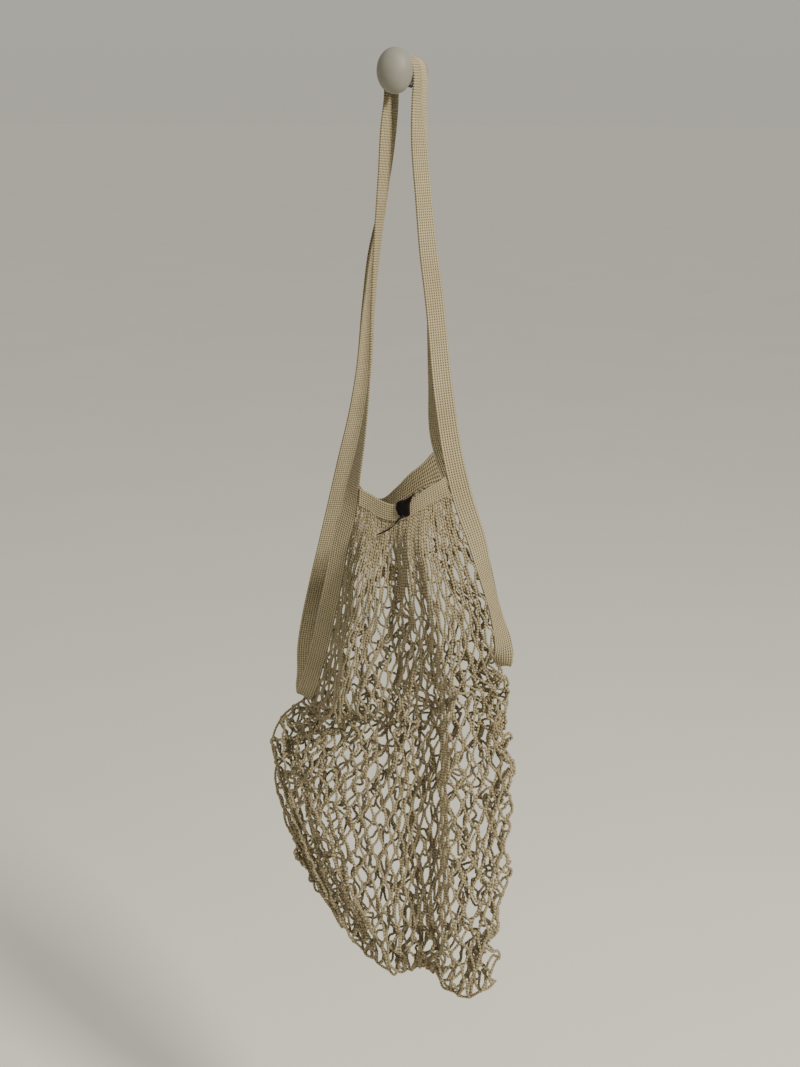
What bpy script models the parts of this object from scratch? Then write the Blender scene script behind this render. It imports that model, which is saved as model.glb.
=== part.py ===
# A cotton string bag that hangs by its two knitted handles from a turned knob on a wall.
# The frame has its origin at the centre of the knob's back face, which is on the wall.
# +Z is up, +X is to the right of someone facing the wall, and the object stands off it along -Y.
# Sizes in the tables are millimetres, and off_wall is the distance from the wall.

import math

import bmesh
import bpy
import numpy as np

MM = 0.001
PIECE_GAP = 0.6
NET_GAP = 1.5
BAND_END_GAP = 1.3

# Wall knob: a short round neck and an oval head.
NECK_RADIUS = 10.0
FOOT_RADIUS = 12.5
FOOT_THICKNESS = 1.6
HEAD_HALF_WIDTH = 14.4
HEAD_HALF_HEIGHT = 17.6
HEAD_HALF_DEPTH = 12.5
HEAD_CENTRE_OFF_WALL = 49.0
KNOB_SIDES = 32
HEAD_STEPS = 10

# Knitted tape of the handles and of the two mouth bands.
TAPE_WIDTH = 17.0
TAPE_THICKNESS = 2.0
STEPS_PER_ROW = 4
NECK_LOOP_RADIUS = NECK_RADIUS + PIECE_GAP + TAPE_THICKNESS / 2
NECK_LOOP_STEP = 22.5
FRONT_TAPE_OFF_WALL = 29.5
BACK_TAPE_OFF_WALL = 11.5

# Net: each panel is two mesh columns of real net to one column here.
NET_THICKNESS = 2.0
NET_COLUMNS = 7
NET_ROWS = 17
SLIT_ROWS = 7
HALF_RIB = 1.9
SMALLEST_OPENING = 0.3
RIM_STEPS = 6
WALL_CLEARANCE = 4.0
FRONT_BULGE = 20.0
BACK_BULGE = -36.0
CROWN_ACROSS_POWER = 0.7
CROWN_DOWN_POWER = 0.4
FOLD_FADE = 0.7
FLAT_BORDER = 0.08
FACING_STEP = 0.035
BAND_STEPS = 36
TAIL_STEPS = 24
POLE_ANGLE = 0.06

LABEL_WIDTH = 13.5
LABEL_HEIGHT = 16.0
LABEL_THICKNESS = 1.0
LABEL_SIDE = 14.5
LABEL_OFF_WALL = 71.5
LABEL_MIDDLE_HEIGHT = -346.0
LABEL_LEAN = 0.06
TAIL_WIDTH = 3.6
TAIL_THICKNESS = 1.0
TAIL_TAPER = 0.75

# Columns of the handle tables. The turn and dip aim the tape's width at its net edge.
HANDLE_COLUMNS = ("side", "height", "off_wall", "turn", "dip")
FRONT_LEFT_LEG = [
    (-95.0, -547.0, 31.0, 0.0, 25.0),
    (-86.0, -532.0, 42.0, -4.0, 12.0),
    (-76.5, -504.5, 45.0, -8.0, 0.0),
    (-64.5, -462.5, 51.0, -9.0, 0.0),
    (-54.0, -422.0, 56.0, -11.0, 0.0),
    (-45.5, -384.0, 60.0, -14.0, 0.0),
    (-37.5, -355.0, 60.0, -24.0, 0.0),
    (-33.5, -330.0, 58.0, -40.0, 0.0),
    (-27.5, -295.0, 55.0, -56.0, 0.0),
    (-22.5, -245.0, 49.0, -72.0, 0.0),
    (-21.5, -180.0, 41.0, -80.0, 0.0),
    (-18.5, -125.0, 36.0, -92.0, 0.0),
    (-14.5, -80.0, 33.0, -104.0, 0.0),
    (-12.4, -42.0, 31.0, -106.0, 0.0),
    (-11.8, -21.0, 29.8, -93.0, 0.0),
]
FRONT_RIGHT_LEG = [
    (12.0, -23.0, 29.8, -97.0, 0.0),
    (14.6, -54.0, 31.5, -117.0, 0.0),
    (19.5, -99.0, 34.0, -122.0, 0.0),
    (24.5, -138.0, 37.0, -130.0, 0.0),
    (31.0, -177.0, 41.0, -133.0, 0.0),
    (42.0, -258.0, 47.0, -144.0, 0.0),
    (52.0, -307.0, 52.0, -152.0, 0.0),
    (62.0, -340.0, 56.0, -157.0, 0.0),
    (74.0, -373.0, 57.0, -138.0, 0.0),
    (82.0, -409.0, 52.0, -110.0, 0.0),
    (89.0, -440.0, 46.0, -108.0, 0.0),
    (93.5, -474.0, 40.0, -150.0, 8.0),
    (92.5, -495.0, 27.0, -180.0, 20.0),
]
BACK_LEFT_LEG = [
    (-95.0, -547.0, 31.0, 0.0, 25.0),
    (-97.0, -532.0, 20.0, 8.0, 12.0),
    (-97.5, -506.0, 16.0, 20.0, 0.0),
    (-94.0, -479.0, 13.0, 27.0, 0.0),
    (-85.5, -440.0, 12.0, 32.0, 0.0),
    (-76.0, -401.0, 12.0, 40.0, 0.0),
    (-67.0, -363.0, 12.0, 47.0, 0.0),
    (-57.5, -325.0, 14.0, 52.0, 0.0),
    (-46.0, -279.0, 16.0, 60.0, 0.0),
    (-40.0, -245.0, 17.0, 68.0, 0.0),
    (-35.0, -183.0, 18.0, 84.0, 0.0),
    (-30.5, -143.0, 18.0, 90.0, 0.0),
    (-23.0, -108.0, 16.0, 92.0, 0.0),
    (-16.0, -66.0, 13.5, 91.0, 0.0),
    (-12.2, -24.0, 12.0, 90.0, 0.0),
]
BACK_RIGHT_LEG = [
    (12.2, -24.0, 12.0, 91.0, 0.0),
    (14.3, -68.0, 13.5, 96.0, 0.0),
    (16.5, -120.0, 15.0, 105.0, 0.0),
    (20.0, -190.0, 16.0, 122.0, 0.0),
    (24.0, -252.0, 16.0, 140.0, 0.0),
    (28.0, -300.0, 15.0, 158.0, 0.0),
    (40.0, -335.0, 13.0, 170.0, 0.0),
    (56.0, -368.0, 12.0, 172.0, 0.0),
    (71.5, -408.0, 12.0, 170.0, 0.0),
    (84.0, -446.0, 13.0, 168.0, 0.0),
    (91.5, -476.0, 14.5, 172.0, 8.0),
    (92.5, -495.0, 27.0, 180.0, 20.0),
]

# Columns of the band tables: one row for each point across the mouth between its two handles.
BAND_COLUMNS = ("side", "upper", "lower", "off_wall")
FRONT_BAND = [
    (-17.0, -339.0, -354.0, 65.0),
    (-7.0, -343.0, -358.5, 67.0),
    (3.0, -345.0, -359.5, 69.0),
    (13.0, -343.5, -358.0, 70.0),
    (23.0, -337.5, -352.0, 69.0),
    (33.0, -329.5, -345.0, 66.0),
    (42.0, -324.0, -340.0, 62.0),
]
FRONT_BAND_ENDS = {"left_upper": -335.0, "left_lower": -350.0, "right_upper": -320.0, "right_lower": -336.0}
BACK_BAND = [
    (-41.0, -353.0, -370.0, 11.0),
    (-27.0, -358.5, -375.5, 10.0),
    (-12.0, -347.0, -364.0, 10.0),
    (0.0, -334.0, -351.0, 10.0),
    (12.0, -323.5, -341.0, 11.0),
]
BACK_BAND_ENDS = {"left_upper": -336.0, "left_lower": -353.0, "right_upper": -312.0, "right_lower": -329.0}

# Columns of the tables of places: the net's two side folds below the handles, its bottom
# fold, and the label's loose tail.
PLACE_COLUMNS = ("side", "height", "off_wall")
LEFT_SIDE = [
    (-102.0, -558.0, 31.0),
    (-116.0, -570.0, 32.0),
    (-123.5, -598.0, 36.0),
    (-121.5, -640.0, 40.0),
    (-111.0, -672.0, 44.0),
    (-97.0, -704.0, 48.0),
]
RIGHT_SIDE = [
    (94.0, -511.0, 30.0),
    (99.0, -534.0, 36.0),
    (105.0, -582.0, 44.0),
    (107.5, -627.0, 52.0),
    (108.5, -672.0, 64.0),
    (107.0, -716.0, 78.0),
    (107.0, -745.0, 88.0),
    (104.0, -770.0, 95.0),
]
BOTTOM_FOLD = [
    (-74.0, -741.0, 54.0),
    (-50.0, -761.0, 59.0),
    (-26.0, -779.0, 65.0),
    (-2.0, -791.0, 72.0),
    (28.0, -785.0, 80.0),
    (61.0, -781.0, 90.0),
    (84.0, -784.0, 96.0),
]

# Folds of the front panel: where each crosses the panel at its top and bottom row, its
# half width there, how far it pushes the net off the wall, and the rows between which it runs.
FOLD_COLUMNS = ("across_top", "across_bottom", "half_width", "push", "from_row", "to_row")
FRONT_FOLDS = [
    (0.22, 0.24, 0.07, 7.0, 0.05, 0.80),
    (0.40, 0.60, 0.05, -20.0, 0.02, 0.62),
    (0.54, 0.66, 0.05, 7.0, 0.10, 0.70),
    (0.66, 0.74, 0.045, -18.0, 0.12, 0.85),
    (0.78, 0.84, 0.06, 10.0, 0.10, 0.95),
]
BACK_FOLDS = [
    (0.30, 0.34, 0.09, 7.0, 0.10, 0.80),
    (0.66, 0.62, 0.08, 9.0, 0.15, 0.90),
]
# The back panel swells out past the left handle's end.
LEFT_SWELL = {"side": -14.0, "row": 0.43, "half_rows": 0.09, "half_width": 0.16}

# The label's outline, as shares of its width and height from its middle.
LABEL_OUTLINE = [
    (-0.47, 0.08), (-0.40, -0.24), (-0.18, -0.46), (0.16, -0.50), (0.42, -0.40),
    (0.47, 0.02), (0.52, 0.50), (0.16, 0.36), (-0.20, 0.32),
]
LABEL_TAIL = [
    (19.5, -356.0, 72.5),
    (12.0, -360.0, 73.8),
    (3.5, -367.5, 74.5),
    (-7.0, -371.5, 73.8),
]

COTTON = {"colour": (0.58, 0.50, 0.37, 1.0), "roughness": 0.92}
PAINT = {"colour": (0.66, 0.63, 0.57, 1.0), "roughness": 0.6}
LABEL_CLOTH = {"colour": (0.016, 0.016, 0.02, 1.0), "roughness": 0.75}


def clear_scene():
    for item in list(bpy.data.objects):
        bpy.data.objects.remove(item, do_unlink=True)


def place(rows, columns=PLACE_COLUMNS, height="height"):
    # A table's rows as points of the frame, with the columns that aren't a place after them.
    table = dict(zip(columns, np.array(rows, float).T))
    places = [table["side"], -table["off_wall"], table[height]]
    others = [table[name] for name in columns if name in ("turn", "dip")]
    return np.column_stack(places + others)


def smooth_curve(points):
    # A smooth curve through the points, as a function of the distance along their chords.
    points = np.array(points, float)
    steps = np.linalg.norm(np.diff(points[:, :3], axis=0), axis=1)
    knots = np.concatenate([[0.0], np.cumsum(steps)])
    slopes = np.gradient(points, knots, axis=0)

    def curve(distance):
        where = np.clip(np.atleast_1d(np.asarray(distance, float)), knots[0], knots[-1])
        span = np.clip(np.searchsorted(knots, where, side="right") - 1, 0, len(knots) - 2)
        length = knots[span + 1] - knots[span]
        u = ((where - knots[span]) / length)[:, None]
        length = length[:, None]
        return (
            (2 * u**3 - 3 * u**2 + 1) * points[span]
            + (u**3 - 2 * u**2 + u) * length * slopes[span]
            + (3 * u**2 - 2 * u**3) * points[span + 1]
            + (u**3 - u**2) * length * slopes[span + 1]
        )

    return curve, knots


def unit(vectors):
    return vectors / np.linalg.norm(vectors, axis=-1, keepdims=True)


def neck_loop(off_wall, turn):
    # The half circle of a handle over the knob's neck, from its left side to its right.
    angles = np.radians(np.arange(180.0, -1.0, -NECK_LOOP_STEP))
    return [
        (NECK_LOOP_RADIUS * math.cos(a), NECK_LOOP_RADIUS * math.sin(a), off_wall, turn, 0.0)
        for a in angles
    ]


def make_handle(left_leg, right_leg, off_wall, turn, guides):
    # One handle from its left end over the knob to its right end. The guides are the rows of
    # the other handle next to the two ends, so that the two meet in one smooth bend.
    rows = [guides[0]] + left_leg + neck_loop(off_wall, turn) + right_leg + [guides[1]]
    curve, knots = smooth_curve(place(rows, HANDLE_COLUMNS))
    return {"curve": curve, "knots": knots[1:-1], "left": knots[1], "right": knots[-2]}


def handle_frame(handle, distance):
    # Centre, tangent, direction to the net edge and face direction of a handle's tape.
    rows = handle["curve"](distance)
    tangent = unit(handle["curve"](distance + 1.0)[:, :3] - handle["curve"](distance - 1.0)[:, :3])
    turn = np.radians(rows[:, 3])
    dip = np.radians(rows[:, 4])
    aim = np.column_stack([np.cos(turn) * np.cos(dip), np.sin(turn) * np.cos(dip), -np.sin(dip)])
    across = unit(aim - tangent * np.sum(aim * tangent, axis=1, keepdims=True))
    return rows[:, :3], tangent, across, np.cross(tangent, across)


def net_edge(handle, distance, extra):
    # Points beside a handle's net edge, a little outside the tape.
    centre, tangent, across, face = handle_frame(handle, distance)
    return centre + across * (TAPE_WIDTH / 2 + extra)


def height_on_leg(handle, leg, height):
    # The distance along a handle at which its net edge passes a height.
    middle = (handle["left"] + handle["right"]) / 2
    ends = (handle["left"], middle) if leg == "left" else (middle, handle["right"])
    distances = np.linspace(ends[0], ends[1], 1200)
    heights = net_edge(handle, distances, 0.0)[:, 2]
    rising = leg == "left"
    order = slice(None) if rising else slice(None, None, -1)
    return float(np.interp(height, heights[order], distances[order]))


def loft(name, sections, colour):
    # A closed solid through rings of equal point counts, with flat ends.
    mesh = bmesh.new()
    rings = [[mesh.verts.new(tuple(np.asarray(p) * MM)) for p in ring] for ring in sections]
    count = len(rings[0])
    for ring, after in zip(rings, rings[1:]):
        for k in range(count):
            mesh.faces.new((ring[k], ring[(k + 1) % count], after[(k + 1) % count], after[k]))
    mesh.faces.new(list(reversed(rings[0])))
    mesh.faces.new(rings[-1])
    return finish_mesh(name, mesh, colour)


def finish_mesh(name, mesh, colour, smooth_angle=40.0):
    bmesh.ops.triangulate(mesh, faces=mesh.faces[:])
    bmesh.ops.recalc_face_normals(mesh, faces=mesh.faces[:])
    data = bpy.data.meshes.new(name)
    mesh.to_mesh(data)
    mesh.free()
    data.shade_smooth()
    data.set_sharp_from_angle(angle=math.radians(smooth_angle))
    item = bpy.data.objects.new(name, data)
    bpy.context.scene.collection.objects.link(item)
    data.materials.append(make_material(name, colour))
    return item


def make_material(name, look):
    material = bpy.data.materials.new(name + "_material")
    material.use_nodes = True
    shader = material.node_tree.nodes["Principled BSDF"]
    shader.inputs["Base Color"].default_value = look["colour"]
    shader.inputs["Roughness"].default_value = look["roughness"]
    shader.inputs["Metallic"].default_value = 0.0
    return material


def make_knob():
    # Rings from the flat back face to the front of the oval head.
    neck_end = HEAD_HALF_DEPTH * math.sqrt(1 - (NECK_RADIUS / HEAD_HALF_WIDTH) ** 2)
    start = math.acos(-neck_end / HEAD_HALF_DEPTH)
    profile = [
        (0.0, FOOT_RADIUS, FOOT_RADIUS),
        (FOOT_THICKNESS, FOOT_RADIUS, FOOT_RADIUS),
        (FOOT_THICKNESS, NECK_RADIUS, NECK_RADIUS),
        (HEAD_CENTRE_OFF_WALL - neck_end - 2.0, NECK_RADIUS, NECK_RADIUS),
    ]
    for k in range(HEAD_STEPS + 1):
        angle = start + (POLE_ANGLE - start) * k / HEAD_STEPS
        profile.append(
            (
                HEAD_CENTRE_OFF_WALL + HEAD_HALF_DEPTH * math.cos(angle),
                HEAD_HALF_WIDTH * math.sin(angle),
                HEAD_HALF_HEIGHT * math.sin(angle),
            )
        )
    turns = np.linspace(0, 2 * math.pi, KNOB_SIDES, endpoint=False)
    sections = [
        [(half_width * math.cos(a), -off_wall, half_height * math.sin(a)) for a in turns]
        for off_wall, half_width, half_height in profile
    ]
    return loft("knob", sections, PAINT)


def tape_sections(centre, across, face, width, thickness):
    side = across * width / 2
    skin = face * thickness / 2
    front, behind = centre + skin, centre - skin
    return np.stack([front + side, front - side, behind - side, behind + side], 1)


def make_handle_tape(name, handle):
    knots = handle["knots"]
    distances = np.concatenate(
        [np.linspace(a, b, STEPS_PER_ROW, endpoint=False) for a, b in zip(knots, knots[1:])] + [knots[-1:]]
    )
    centre, tangent, across, face = handle_frame(handle, distances)
    centre[0] += tangent[0] * PIECE_GAP / 2
    centre[-1] -= tangent[-1] * PIECE_GAP / 2
    return loft(name, tape_sections(centre, across, face, TAPE_WIDTH, TAPE_THICKNESS), COTTON)


def band_edges(handle, rows, ends):
    # The upper and lower edges of a mouth band, which end at its handle's two legs.
    edges = []
    for edge in ("upper", "lower"):
        left = height_on_leg(handle, "left", ends["left_" + edge])
        right = height_on_leg(handle, "right", ends["right_" + edge])
        inner = place(rows, BAND_COLUMNS, edge)
        first = net_edge(handle, np.array([left]), BAND_END_GAP)
        last = net_edge(handle, np.array([right]), BAND_END_GAP)
        edges.append(smooth_curve(np.vstack([first, inner, last])))
    return edges


def make_band(name, edges):
    (upper, upper_knots), (lower, lower_knots) = edges
    share = np.linspace(0, 1, BAND_STEPS + 1)
    top = upper(share * upper_knots[-1])
    bottom = lower(share * lower_knots[-1])
    middle = (top + bottom) / 2
    face = unit(np.cross(np.gradient(middle, axis=0), bottom - top)) * TAPE_THICKNESS / 2
    return loft(name, np.stack([top + face, bottom + face, bottom - face, top - face], 1), COTTON)


def panel_borders(handle, edges, ends):
    # The four borders of one panel of net, each as a function of its share from 0 to 1:
    # across below the band, down each handle and side fold, and across the bottom fold.
    slit = SLIT_ROWS / NET_ROWS

    def side_border(leg, side_rows):
        corner = height_on_leg(handle, leg, ends[leg + "_lower"] - NET_GAP)
        tip = handle[leg]
        tip_edge = net_edge(handle, np.array([tip]), NET_GAP)
        fold, knots = smooth_curve(np.vstack([tip_edge, place(side_rows)]))

        def border(share):
            on_handle = net_edge(handle, corner + (tip - corner) * np.clip(share / slit, 0, 1), NET_GAP)
            on_fold = fold(knots[-1] * np.clip((share - slit) / (1 - slit), 0, 1))
            return np.where((share < slit)[:, None], on_handle, on_fold)

        return border

    left = side_border("left", LEFT_SIDE)
    right = side_border("right", RIGHT_SIDE)
    lower, lower_knots = edges[1]
    bottom, bottom_knots = smooth_curve(place([LEFT_SIDE[-1]] + BOTTOM_FOLD + [RIGHT_SIDE[-1]]))

    def top_border(share):
        below = lower(share * lower_knots[-1]) - np.array([0.0, 0.0, NET_GAP])
        start, end = lower(np.array([0.0, lower_knots[-1]])) - np.array([0.0, 0.0, NET_GAP])
        across = share[:, None]
        return below + (left(np.zeros(1)) - start) * (1 - across) + (right(np.zeros(1)) - end) * across

    def bottom_border(share):
        return bottom(share * bottom_knots[-1])

    return {"top": top_border, "left": left, "right": right, "bottom": bottom_border}


def fold_push(folds, across, row):
    # How far the folds of a panel push the net off the wall at a place on it.
    push = np.zeros_like(across)
    for values in folds:
        fold = dict(zip(FOLD_COLUMNS, values))
        middle = fold["across_top"] + (fold["across_bottom"] - fold["across_top"]) * row
        run = np.clip((row - fold["from_row"]) / (fold["to_row"] - fold["from_row"]), 0, 1)
        fade = np.sin(math.pi * run) ** FOLD_FADE
        push += fold["push"] * fade * np.exp(-(((across - middle) / fold["half_width"]) ** 2))
    return push


def panel_surface(borders, bulge, folds, swell):
    # The middle surface of one panel: its borders blended across it, then bulged and folded.
    def surface(across, row):
        across = np.atleast_1d(np.asarray(across, float))
        row = np.atleast_1d(np.asarray(row, float))
        u = across[:, None]
        v = row[:, None]
        zero, one = np.zeros(1), np.ones(1)
        top_left, top_right = borders["left"](zero), borders["right"](zero)
        low_left, low_right = borders["left"](one), borders["right"](one)
        corners = (1 - v) * ((1 - u) * top_left + u * top_right) + v * ((1 - u) * low_left + u * low_right)
        points = (1 - u) * borders["left"](row) + u * borders["right"](row) - corners
        points = points + (1 - v) * borders["top"](across) + v * borders["bottom"](across)
        crown = (
            np.clip(np.sin(math.pi * across), 0, 1) ** CROWN_ACROSS_POWER
            * np.clip(np.sin(math.pi * row), 0, 1) ** CROWN_DOWN_POWER
        )
        inside = np.clip(np.minimum(across, 1 - across) / FLAT_BORDER, 0, 1)
        points[:, 1] -= bulge * crown + fold_push(folds, across, row) * inside
        if swell:
            level = np.exp(-(((row - swell["row"]) / swell["half_rows"]) ** 2))
            points[:, 0] += swell["side"] * level * np.sin(
                math.pi * np.clip(across / (2 * swell["half_width"]), 0, 1)
            )
        points[:, 1] = np.minimum(points[:, 1], -WALL_CLEARANCE)
        return points

    return surface


class NetShell:
    # Gathers the net's points once each, with an outer and an inner vertex for every point.
    def __init__(self, surfaces):
        self.surfaces = surfaces
        self.mesh = bmesh.new()
        self.points = {}

    def key(self, panel, column, row):
        on_side = column in (0, 2 * NET_COLUMNS)
        if row == NET_ROWS:
            return ("bottom", column, row)
        if on_side and row >= SLIT_ROWS:
            return ("side", column, row)
        return (panel, column, row)

    def facing(self, panel, across, row):
        step = FACING_STEP
        surface = self.surfaces[panel]
        low, high = max(across - step, 0.0), min(across + step, 1.0)
        up, down = max(row - step, 0.0), min(row + step, 1.0)
        run = surface(high, row)[0] - surface(low, row)[0]
        drop = surface(across, down)[0] - surface(across, up)[0]
        turned = unit(np.cross(drop, run))
        away = np.array([0.0, -1.0, 0.0])
        return unit(turned + away) if panel == "front" else unit(-turned - away)

    def add(self, key, point, facing):
        if key not in self.points:
            skin = facing * NET_THICKNESS / 2
            outer = self.mesh.verts.new(tuple((point + skin) * MM))
            inner = self.mesh.verts.new(tuple((point - skin) * MM))
            self.points[key] = (point, facing, outer, inner)
        return self.points[key]

    def node(self, panel, column, row):
        key = self.key(panel, column, row)
        if key in self.points:
            return self.points[key]
        across, level = column / (2 * NET_COLUMNS), row / NET_ROWS
        point = self.surfaces[panel](across, level)[0]
        facing = self.facing(panel, across, level)
        if key[0] in ("side", "bottom"):
            other = "back" if panel == "front" else "front"
            facing = facing + self.facing(other, across, level)
            outward = np.array([-1.0, 0, 0]) if column == 0 else np.array([1.0, 0, 0])
            if key[0] == "bottom":
                outward = np.array([0.0, 0, -1.0])
            facing = unit(facing + outward)
        return self.add(key, point, facing)

    def solid_cell(self, name, corners):
        # A cell without a hole: a fan about its centre.
        point = np.mean([c[0] for c in corners], axis=0)
        facing = unit(np.sum([c[1] for c in corners], axis=0))
        self.fan(self.add(("centre",) + name, point, facing), corners + corners[:1])

    def fan(self, hub, chain):
        for first, second in zip(chain, chain[1:]):
            self.mesh.faces.new((hub[2], first[2], second[2]))
            self.mesh.faces.new((hub[3], second[3], first[3]))

    def mesh_cell(self, name, corners):
        # A cell of the net, its hole cut through if it is wide enough between its ribs.
        centre = np.mean([c[0] for c in corners], axis=0)
        half_height = np.linalg.norm(corners[0][0] - corners[2][0]) / 2
        half_width = np.linalg.norm(corners[1][0] - corners[3][0]) / 2
        opening = 1 - HALF_RIB * math.hypot(half_width, half_height) / (half_width * half_height)
        if opening < SMALLEST_OPENING:
            self.solid_cell(name, corners)
            return
        facing = unit(np.sum([c[1] for c in corners], axis=0))
        hole = [
            self.add(("hole", k) + name, centre + (corner[0] - centre) * opening, unit(corner[1] + facing))
            for k, corner in enumerate(corners)
        ]
        for k in range(4):
            after = (k + 1) % 4
            self.mesh.faces.new((corners[k][2], corners[after][2], hole[after][2], hole[k][2]))
            self.mesh.faces.new((corners[after][3], corners[k][3], hole[k][3], hole[after][3]))
            self.mesh.faces.new((hole[k][2], hole[after][2], hole[after][3], hole[k][3]))

    def rim(self, panel, start, end):
        # The points between two nodes of a free border, which follows its band or handle.
        columns = [start[0] + (end[0] - start[0]) * k / RIM_STEPS for k in range(RIM_STEPS + 1)]
        rows = [start[1] + (end[1] - start[1]) * k / RIM_STEPS for k in range(RIM_STEPS + 1)]
        chain = [self.node(panel, column, row) for column, row in zip(columns, rows)]
        for first, second in zip(chain, chain[1:]):
            self.mesh.faces.new((second[2], first[2], first[3], second[3]))
        return chain


def make_net(surfaces):
    shell = NetShell(surfaces)
    last = 2 * NET_COLUMNS
    for panel in ("front", "back"):
        for row in range(NET_ROWS):
            for column in range(last + 1):
                if (column + row) % 2:
                    continue
                name = (panel, column, row)
                on_side = column in (0, last)
                if row == 0:
                    top_cell(shell, panel, column, last)
                elif on_side and row < SLIT_ROWS:
                    chain = shell.rim(panel, (column, row + 1), (column, row - 1))
                    shell.fan(shell.node(panel, 1 if column == 0 else last - 1, row), chain)
                elif on_side and panel == "front":
                    beside = 1 if column == 0 else last - 1
                    shell.mesh_cell(
                        name,
                        [
                            shell.node("front", column, row - 1),
                            shell.node("front", beside, row),
                            shell.node("front", column, row + 1),
                            shell.node("back", beside, row),
                        ],
                    )
                elif not on_side:
                    shell.mesh_cell(
                        name,
                        [
                            shell.node(panel, column, row - 1),
                            shell.node(panel, column + 1, row),
                            shell.node(panel, column, row + 1),
                            shell.node(panel, column - 1, row),
                        ],
                    )
    for column in range(1, last, 2):
        shell.mesh_cell(
            ("bottom", column, NET_ROWS),
            [
                shell.node("front", column, NET_ROWS - 1),
                shell.node("front", column + 1, NET_ROWS),
                shell.node("back", column, NET_ROWS - 1),
                shell.node("front", column - 1, NET_ROWS),
            ],
        )
    return finish_mesh("net_body", shell.mesh, COTTON, 60.0)


def top_cell(shell, panel, column, last):
    # The gathered heading below a band: a half cell, or a quarter cell in a corner.
    if column in (0, last):
        beside = 1 if column == 0 else last - 1
        chain = shell.rim(panel, (column, 1), (column, 0)) + shell.rim(panel, (column, 0), (beside, 0))[1:]
        shell.solid_cell((panel, column, 0), chain)
    else:
        shell.fan(shell.node(panel, column, 1), shell.rim(panel, (column - 1, 0), (column + 1, 0)))


def make_label():
    # A small folded cloth label with a drawn-out upper corner, sewn flat to the front band.
    ring = [
        (LABEL_SIDE + LABEL_WIDTH * (x + z * LABEL_LEAN), LABEL_MIDDLE_HEIGHT + LABEL_HEIGHT * z)
        for x, z in LABEL_OUTLINE
    ]
    back = LABEL_OFF_WALL
    sections = [[(x, -off_wall, z) for x, z in ring] for off_wall in (back, back + LABEL_THICKNESS)]
    return loft("label", sections, LABEL_CLOTH)


def make_label_tail():
    curve, knots = smooth_curve(place(LABEL_TAIL))
    distances = np.linspace(knots[0], knots[-1], TAIL_STEPS + 1)
    centre = curve(distances)
    tangent = unit(np.gradient(centre, axis=0))
    across = unit(np.cross(tangent, np.array([0.0, -1.0, 0.0])))
    widths = TAIL_WIDTH * (1 - TAIL_TAPER * (distances / knots[-1]) ** 3)[:, None]
    sections = tape_sections(centre, across, np.cross(across, tangent), widths, TAIL_THICKNESS)
    return loft("label_tail", sections, LABEL_CLOTH)


def main():
    clear_scene()
    make_knob()
    front = make_handle(
        FRONT_LEFT_LEG, FRONT_RIGHT_LEG, FRONT_TAPE_OFF_WALL, -90.0, (BACK_LEFT_LEG[1], BACK_RIGHT_LEG[-2])
    )
    back = make_handle(
        BACK_LEFT_LEG, BACK_RIGHT_LEG, BACK_TAPE_OFF_WALL, 90.0, (FRONT_LEFT_LEG[1], FRONT_RIGHT_LEG[-2])
    )
    make_handle_tape("handle_front", front)
    make_handle_tape("handle_back", back)
    front_edges = band_edges(front, FRONT_BAND, FRONT_BAND_ENDS)
    back_edges = band_edges(back, BACK_BAND, BACK_BAND_ENDS)
    make_band("mouth_band_front", front_edges)
    make_band("mouth_band_back", back_edges)
    front_borders = panel_borders(front, front_edges, FRONT_BAND_ENDS)
    back_borders = panel_borders(back, back_edges, BACK_BAND_ENDS)
    surfaces = {
        "front": panel_surface(front_borders, FRONT_BULGE, FRONT_FOLDS, None),
        "back": panel_surface(back_borders, BACK_BULGE, BACK_FOLDS, LEFT_SWELL),
    }
    make_net(surfaces)
    make_label()
    make_label_tail()


main()
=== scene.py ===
# A string bag on a wall knob: knitted yarn net, tape handles, mouth bands, label and knob.
import math

import bmesh
import bpy
import numpy as np
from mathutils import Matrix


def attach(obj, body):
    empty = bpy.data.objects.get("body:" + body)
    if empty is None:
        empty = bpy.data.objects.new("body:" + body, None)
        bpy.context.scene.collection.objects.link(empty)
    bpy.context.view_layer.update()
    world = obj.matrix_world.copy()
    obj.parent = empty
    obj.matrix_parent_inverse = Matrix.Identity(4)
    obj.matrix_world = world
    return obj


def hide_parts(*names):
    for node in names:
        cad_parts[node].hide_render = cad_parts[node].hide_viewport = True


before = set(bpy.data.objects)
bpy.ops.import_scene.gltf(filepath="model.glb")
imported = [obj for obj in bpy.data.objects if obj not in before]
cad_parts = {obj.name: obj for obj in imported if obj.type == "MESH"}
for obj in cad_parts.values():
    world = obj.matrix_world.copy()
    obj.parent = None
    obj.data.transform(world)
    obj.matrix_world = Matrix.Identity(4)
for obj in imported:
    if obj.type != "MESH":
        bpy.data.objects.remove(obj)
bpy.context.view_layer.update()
print("frame loaded:", len(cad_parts), "nodes")

mm = 0.001

cameraSetup = {
    "place": (0.3585, -1.139, -0.026),
    "pitchDown": 17.0,
    "yawLeft": 18.0,
    "lens": 47.24,
    "sensor": 36.0,
    "clip": (0.02, 100.0),
}


def addObject(name, data):
    item = bpy.data.objects.new(name, data)
    bpy.context.scene.collection.objects.link(item)
    return item


def makeCamera(setup):
    data = bpy.data.cameras.new("viewCamera")
    data.lens = setup["lens"]
    data.sensor_width = setup["sensor"]
    data.clip_start, data.clip_end = setup["clip"]
    camera = addObject("viewCamera", data)
    camera.location = setup["place"]
    camera.rotation_euler = (math.radians(90 - setup["pitchDown"]), 0, math.radians(setup["yawLeft"]))
    bpy.context.scene.camera = camera


makeCamera(cameraSetup)


# Shader and node helpers

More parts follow.
